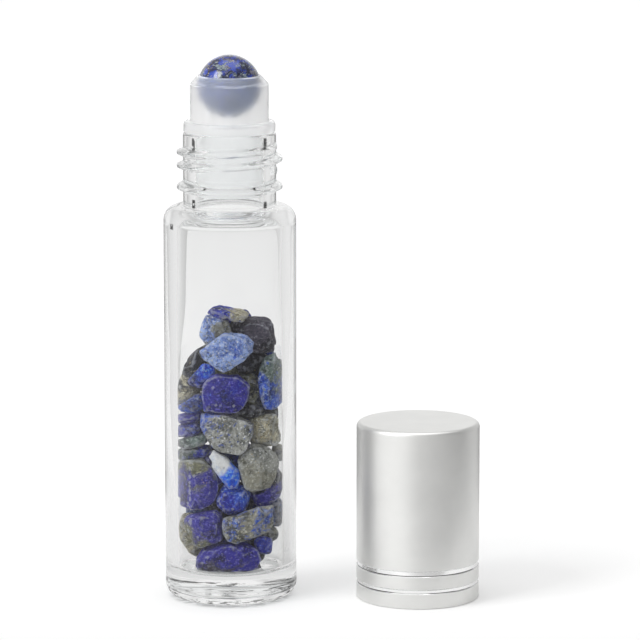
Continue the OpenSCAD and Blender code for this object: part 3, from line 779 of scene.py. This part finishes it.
def makeBallStone():
    p = polish
    material, board = newMaterial("polished_lapis")
    coords = board.place((0.004, 0.0115, 0.002))
    fine = board.noise(coords, p["fineScale"], 6, 0.8)
    swirl = board.noise(coords, p["swirlScale"], 8, 0.66, 1.0)
    patches = board.noise(coords, p["blueScale"], 7, 0.66, 0.8)
    blue = board.mix(patches.above(0.44, 0.56), paint(*p["deepBlue"]), paint(*p["blue"]))
    blue = board.mix(fine.above(0.54, 0.66) * 0.6, blue, paint(*p["paleBlue"]))
    grey = board.mix(fine.above(0.42, 0.6), paint(*p["darkGrey"]), paint(*p["paleGrey"]))
    dusk = board.mix(fine.above(0.42, 0.6), paint(*p["darkDusk"]), paint(*p["paleDusk"]))
    colour = board.mix((swirl + fine * 0.16).above(0.59, 0.64), blue, grey)
    bands = board.noise(board.place((0.01, 0.003, 0.007), (1, 1, 1.8)), p["bandScale"], 8, 0.66, 0.8)
    colour = board.mix((bands + fine * 0.16).above(0.61, 0.66), colour, dusk)
    white = board.noise(coords, p["whiteScale"], 3, 0.6).above(0.65, 0.7)
    colour = board.mix(white * 0.85, colour, paint(*p["white"]))
    lucky = board.noise(coords, 380, 2).above(0.51, 0.57)
    gold = (1 - board.cells(coords, p["goldScale"]).above(0.2, 0.3)) * lucky
    colour = board.mix(gold * 0.9, colour, paint(*p["gold"]))
    polished = board.principled({
        "Base Color": colour, "Metallic": gold * 0.8, "IOR": p["ior"],
        "Roughness": p["rough"] + board.noise(coords, 1200, 3) * 0.08,
        "Coat Weight": p["coat"], "Coat Roughness": p["coatRough"],
        "Normal": board.bump(board.noise(coords, p["fineScale"], 3), 0.05, 0.0001)})
    # seen through the milky plastic its pattern melts into one soft tone
    cloud = board.noise(coords, p["veilScale"], 3, 0.5).above(0.35, 0.65)
    soft = board.mix(cloud, paint(*p["veilDark"]), paint(*p["veilPale"]))
    veiled = board.principled({"Base Color": soft, "Roughness": p["veilRough"]})
    veil = board.ray("Is Transmission Ray") * ball["veil"]
    board.surface(board.mixShader(veil, polished, veiled))
    return material


metal = dict(
    satin=(232, 232, 230), paleSatin=(237, 237, 235), satinRough=0.33, grainScale=9000, cloudScale=160,
    cut=(244, 244, 244), paleCut=(252, 252, 251), cutRough=0.1, grooveShade=(40, 40, 42),
    grooveShadeWidth=(0.00004, 0.00007), breakScale=130, breaks=(0.46, 0.52),
)


def makeSatinMetal():
    m = metal
    material, board = newMaterial("satin_anodised_aluminium")
    coords = board.place()
    grain = board.noise(coords, m["grainScale"], 2, 0.6)
    cloud = board.noise(coords, m["cloudScale"], 3)
    colour = board.mix(cloud.above(0.3, 0.7), paint(*m["satin"]), paint(*m["paleSatin"]))
    board.surface(board.principled({
        "Base Color": colour, "Metallic": 1.0, "Roughness": m["satinRough"] + grain * 0.08 + cloud * 0.03,
        "Normal": board.bump(grain, 0.12, 0.00004)}))
    return material


def makePolishedMetal():
    # a fine dark line of painted shade runs round the lower inner corner of each groove, broken here and
    # there
    m = metal
    material, board = newMaterial("diamond_cut_aluminium")
    coords = board.place()
    sheen = board.noise(board.place(stretch=(1, 1, 30)), 700, 2)
    colour = board.mix(sheen, paint(*m["cut"]), paint(*m["paleCut"]))
    height = board.dot(coords, (0, 0, 1))
    broken = board.noise(coords, m["breakScale"], 2).above(*m["breaks"])
    # painted shade in the corner of each groove
    for z, width in ((cap["lowRing"], cap["lowWidth"]), (cap["highRing"], cap["highWidth"])):
        line = height.near(z - width / 2 + cap["ringDepth"], *m["grooveShadeWidth"])
        colour = board.mix(line * (0.25 + broken * 0.65), colour, paint(*m["grooveShade"]))
    roughness = m["cutRough"] + board.noise(coords, 2000, 2) * 0.08
    board.surface(board.principled({"Base Color": colour, "Metallic": 1.0, "Roughness": roughness}))
    return material


def makeMouldedPlastic(name, colour, base, bumpSize):
    material, board = newMaterial(name)
    coords = board.place()
    cloud = board.noise(coords, 300, 3)
    tone = board.mix(cloud, paint(*colour), paint(*[min(255, v + 6) for v in colour]))
    board.surface(board.principled({
        "Base Color": tone, "Roughness": base + cloud * 0.12, "IOR": 1.49,
        "Normal": board.bump(board.noise(coords, bumpSize, 3), 0.15, 0.0001)}))
    return material


# Making the pieces

finishPiece(makeVial(), "vial", "clear_glass", ["glass_bottle"], makeGlass())
print("vial made")
finishPiece(makeHousing(), "vial", "translucent_plastic", ["roller_housing"], makeHousingPlastic())
finishPiece(makeBall(), "ball", "polished_lapis", ["roller_ball"], makeBallStone())
print("housing and ball made")
finishPiece(makeCapShell(), "cap", "satin_aluminium", ["cap_shell"], makeSatinMetal(), makePolishedMetal())
finishPiece(makeCapLiner(), "cap", "white_plastic", ["cap_liner"],
            makeMouldedPlastic("white_inner_plastic", (238, 238, 234), 0.38, 1800))
finishPiece(makeCapDisc(), "cap_lifted", "soft_white_plastic", ["cap_seal_disc"],
            makeMouldedPlastic("soft_disc_plastic", (226, 226, 222), 0.6, 2600))
print("cap made")

# first and second stone, share of the second, the side it lies on in degrees, gloss, speckle
chipLooks = [
    ("tan", "ultramarine", 0.55, 180, 0.3, 1), ("grey", "powder", 0.3, 150, 0.3, 1),
    ("slate", "dark", 0.15, None, 0.3, 0.6), ("azure", "powder", 0.75, None, 0.35, 1),
    ("dark", "tan", 0.4, -90, 0.2, 1), ("bright", "ultramarine", 0.35, -135, 0.5, 0.4),
    ("violet", "ultramarine", 0.2, None, 0.5, 0.5), ("azure", "green", 0.42, 80, 0.4, 1),
    ("olive", "dark", 0.35, None, 0.3, 1), ("violet", "ultramarine", 0.3, 90, 0.5, 0.5),
    ("azure", "slate", 0.4, None, 0.4, 1), ("ultramarine", "violet", 0.3, -90, 0.5, 0.5),
    ("green", "slate", 0.25, -90, 0.3, 1), ("pale", "azure", -0.45, 140, 0.3, 1),
    ("tan", "pale", 0.4, None, 0.3, 1), ("grey", "pale", 0.5, 60, 0.3, 0.5),
    ("bright", "white", 0.25, 112, 0.5, 0), ("violet", "olive", 0.06, 118, 0.6, 0.2),
    ("green", "ultramarine", 0.35, 0, 0.4, 1), ("ultramarine", "azure", 0.3, 60, 0.5, 1),
    ("dark", "violet", 0.4, -90, 0.3, 0.7), ("violet", "olive", 0.08, -120, 0.4, 0.3),
    ("grey", "azure", 0.36, None, 0.3, 1), ("tan", "olive", 0.4, None, 0.2, 1),
    ("violet", "slate", 0.2, -90, 0.4, 0.6), ("ultramarine", "grey", 0.25, None, 0.4, 1),
    ("slate", "teal", 0.5, None, 0.3, 1), ("dark", "grey", 0.35, None, 0.3, 1),
    ("grey", "slate", 0.4, None, 0.3, 1),
]
# the inner chips, which show in the gaps, get darker tones: partly their own colour, partly painted shade
# between the stones
hiddenLooks = [
    ("ultramarine", "dark", 0.35, None, 0.4, 0.8), ("dark", "slate", 0.35, None, 0.3, 1),
    ("violet", "dark", 0.35, None, 0.4, 0.6), ("dark", "grey", 0.25, None, 0.3, 1),
    ("slate", "violet", 0.35, None, 0.3, 1), ("teal", "ultramarine", 0.4, None, 0.4, 1),
    ("olive", "dark", 0.5, None, 0.3, 1),
]
chipNodes = sorted(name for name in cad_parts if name.startswith("lapis_chip_"))
for number, node in enumerate(chipNodes):
    low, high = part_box(node)
    look = chipLooks[number] if number < len(chipLooks) else hiddenLooks[number % len(hiddenLooks)]
    stone = makeLapis(node + "_lapis", *look, (low + high) / 2, max(high - low) / 2, number + 1)
    grown = 0 if number < len(chipLooks) else chip["innerGrowth"]
    finishPiece(makeChip(node, grown), "vial", "tumbled_lapis", [node], stone)
print("chips made:", len(chipNodes))


# Floor, light and camera

sweep = dict(
    left=-0.064, right=0.095, front=-0.024, back=1.6, spread=0.075, drop=0.00006,
    shade=0.84, footShade=0.3, footScale=420, footBreaks=(0.35, 0.55), nearShade=0.66, nearReach=(0.03, 0.13),
    mirroredDark=0.2, mirroredDarkStart=(0.05, 0.08), glow=0.22, farGlow=0.14, farReach=0.7, innerGlow=0.09,
)


def makeFloor():
    # a narrow white sheet: past its edges glass and metal see the darker room
    deselectAll()
    bpy.ops.mesh.primitive_plane_add(size=1, location=(0, 0, 0))
    item = bpy.context.object
    item.name = "floor"
    width, depth = sweep["right"] - sweep["left"], sweep["back"] - sweep["front"]
    middle = ((sweep["right"] + sweep["left"]) / 2, (sweep["back"] + sweep["front"]) / 2)

    def spreadOut(p):
        y = p.y * depth + middle[1]
        wide = width + 2 * sweep["spread"] * (y - sweep["front"])
        return Vector((p.x * wide + middle[0], y, -sweep["drop"]))

    moveVertices(item, spreadOut)
    material, board = newMaterial("white_sweep")
    coords = board.place()
    across, along = [board.dot(coords, axis) for axis in ((1, 0, 0), (0, 1, 0))]
    away = across * across + along * along
    # the shade under the vial's foot, broken up where the glass touches down
    foot = 1 - away.above((vial["radius"] - vial["heelRadius"]) ** 2, vial["radius"] ** 2)
    broken = board.noise(board.place(stretch=(1, 3, 1)), sweep["footScale"], 4, 0.6)
    foot = foot * broken.above(*sweep["footBreaks"])
    tone = board.mix(foot, (sweep["shade"],) * 3, (sweep["footShade"],) * 3)
    # painted shade: seen through the thick glass of the base, the sheet round the foot looks greyer
    nearest, farthest = [reach ** 2 for reach in sweep["nearReach"]]
    near = (1 - away.above(nearest, farthest)) * board.ray("Transmission Depth").above(0.5, 1)
    tone = board.mix(near, tone, (sweep["nearShade"],) * 3)
    matt = board.add("ShaderNodeBsdfDiffuse", None, {"Color": tone})
    # painted dark reflection: behind the objects the floor turns dark for mirror rays, like a card, and is
    # seen only in their outlines
    mirroredDark = board.add("ShaderNodeBsdfDiffuse", None, {"Color": (sweep["mirroredDark"],) * 3})
    back = along.above(*sweep["mirroredDarkStart"]) * board.ray("Is Reflection Ray")
    sheet = board.mixShader(back, matt, mirroredDark)
    # a little glow makes the sheet white for the camera, and less so in glass and metal
    far = along.above(0, sweep["farReach"])
    inner = board.ray("Is Glossy Ray").largest(board.ray("Is Transmission Ray"))
    lit = board.ray("Is Camera Ray") * (sweep["glow"] + far * sweep["farGlow"]) + inner * sweep["innerGlow"]
    unlit, bright = [board.add("ShaderNodeEmission", None, ((1, 1, 1), strength)) for strength in (0, 1)]
    glow = board.mixShader(lit, unlit, bright)
    board.surface(board.add("ShaderNodeAddShader", None, (sheet, glow)))
    item.data.materials.append(material)


# brightness of the room by the side it lies on: the camera looks from the front
room = dict(base=0.49, edge=0.6, rightEdge=0.3, rightThrough=0.14, brightest=0.88)
# direction, where the patch starts and is full, brightness that it adds
patches = [
    ((-0.89, -0.46, 0), 0.45, 0.98, 0.46),
    ((-0.89, -0.46, 0), -0.4, 0.8, 0.12),
    ((0.87, -0.5, 0), -0.1, 0.8, -0.16),
    ((0.34, -0.94, 0), 0.35, 0.98, 0.24),
    ((0, 0.97, 0.24), 0.9, 0.98, 0.5),
    ((0, 0, 1), 0.72, 0.94, 0.45),
]
corners = dict(sideways=0.8, back=0.6, start=0.72, full=0.97, level=0.22)


def makeWorld():
    world = bpy.data.worlds.new("studio")
    scene.world = world
    world.use_nodes = True
    board = Board(world.node_tree)
    direction = board.add("ShaderNodeTexCoord", None, (), "Generated")
    level = room["base"]
    for towards, start, full, brightness in patches:
        level = level + board.dot(direction, towards).above(start, full) * brightness
    c = corners
    corner = board.dot(direction, (c["sideways"], 0, 0)).size() + board.dot(direction, (0, c["back"], 0))
    level = level + corner.above(c["start"], c["full"]) * c["level"]
    # the outline of the glass mirrors two dark strips behind it
    downwards = board.dot(direction, (0, 0, -1)).above(0.02, 0.1) * board.ray("Is Reflection Ray")
    strips = board.dot(direction, (0, 1, 0)).above(0.78, 0.87) * downwards
    rightSide = board.dot(direction, (1, 0, 0)).above(0, 0.1)
    level = level * (1 - strips * (rightSide * room["rightEdge"] + room["edge"]))
    # through the glass no side is glaring
    rightBack = board.dot(direction, (0.77, 0.64, 0)).above(0.7, 0.95) * room["rightThrough"]
    dimmed = (level + rightBack).smallest(room["brightest"])
    level = level + board.ray("Transmission Depth").above(0.5, 1) * (dimmed - level)
    seen = board.ray("Is Camera Ray")
    background = board.add("ShaderNodeBackground", None, ((1, 1, 1), seen + (1 - seen) * level))
    board.add("ShaderNodeOutputWorld", None, {"Surface": background})


# name, place, size, watts
lamps = [
    ("key", (-0.36, -0.24, 0.46), 0.26, 1.35),
    ("top", (0.05, 0.10, 0.75), 0.50, 0.6),
]
lampAim = (0.012, 0, 0.035)


def makeLamps():
    # the glass is left out of the lamps' light, or their mirror images burn white patches into its base
    spared = bpy.data.collections.new("spared_from_lamps")
    spared.objects.link(bpy.data.objects["glass_vial"])
    spared.collection_objects[0].light_linking.link_state = "EXCLUDE"
    for name, place, size, watts in lamps:
        data = bpy.data.lights.new(name, "AREA")
        data.energy = watts
        data.size = size
        item = bpy.data.objects.new(name, data)
        item.location = place
        item.visible_transmission = False
        item.light_linking.receiver_collection = spared
        aim = Vector(lampAim) - Vector(place)
        item.rotation_euler = aim.to_track_quat("-Z", "Y").to_euler()
        scene.collection.objects.link(item)


# the lens is given in pixels of a picture frameWidth wide
view = dict(focalPixels=4200, distance=0.636, tilt=10.0, aim=(0.0136, 0, 0.0425), frameWidth=640, sensor=36)


def makeCamera():
    data = bpy.data.cameras.new("photo_view")
    data.sensor_width = view["sensor"]
    data.lens = view["sensor"] * view["focalPixels"] / view["frameWidth"]
    data.clip_start = 0.01
    item = bpy.data.objects.new("photo_view", data)
    tilt = math.radians(view["tilt"])
    aim = Vector(view["aim"])
    item.location = aim + Vector((0, -math.cos(tilt), math.sin(tilt))) * view["distance"]
    item.rotation_euler = (aim - item.location).to_track_quat("-Z", "Y").to_euler()
    scene.collection.objects.link(item)
    scene.camera = item


makeFloor()
makeWorld()
makeLamps()
makeCamera()
scene.view_settings.view_transform = "Standard"
print("stage made")
